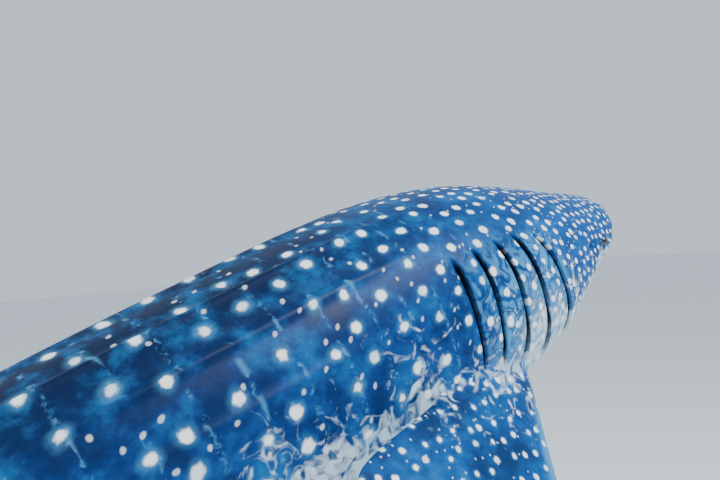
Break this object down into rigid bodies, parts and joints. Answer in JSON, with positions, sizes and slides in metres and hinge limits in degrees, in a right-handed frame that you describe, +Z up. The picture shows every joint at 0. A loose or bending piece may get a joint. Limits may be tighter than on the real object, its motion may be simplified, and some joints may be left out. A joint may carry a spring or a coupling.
{
  "type": "whale shark display model",
  "caption": "Life-size whale shark swimming nose up, with gill slits, ridged spotted back and spread fins, held over a flat base by two upright rods.",
  "frame": {"origin": "centre of the stand base's underside, on the floor", "axes": "+X towards the snout, +Y the animal's left, +Z up"},
  "size_m": [6.1661, 2.484, 2.6623],
  "materials": {
    "skin": "wet-looking shark hide, dark blue with pale spots above and whitish below",
    "eye": "dark polished eye",
    "base": "satin dark grey powder coat",
    "rod": "satin stainless steel"
  },
  "bodies": {
    "root": {"head": "skin", "lower_jaw": "skin", "eye_right": "eye", "eye_left": "eye", "nasal_flap_right": "skin", "nasal_flap_left": "skin", "gill_flap_right_1": "skin", "gill_flap_right_2": "skin", "gill_flap_right_3": "skin", "gill_flap_right_4": "skin", "gill_flap_right_5": "skin", "gill_flap_left_1": "skin", "gill_flap_left_2": "skin", "gill_flap_left_3": "skin", "gill_flap_left_4": "skin", "gill_flap_left_5": "skin", "trunk_front": "skin", "trunk_middle": "skin", "trunk_rear": "skin", "tail_stalk": "skin", "pectoral_fin_right": "skin", "pectoral_fin_left": "skin", "pelvic_fin_right": "skin", "pelvic_fin_left": "skin", "dorsal_fin_first": "skin", "dorsal_fin_second": "skin", "anal_fin": "skin", "caudal_fin_upper": "skin", "caudal_fin_lower": "skin", "stand_base": "base", "stand_rod_front": "rod", "stand_rod_rear": "rod"}
  },
  "joints": []
}
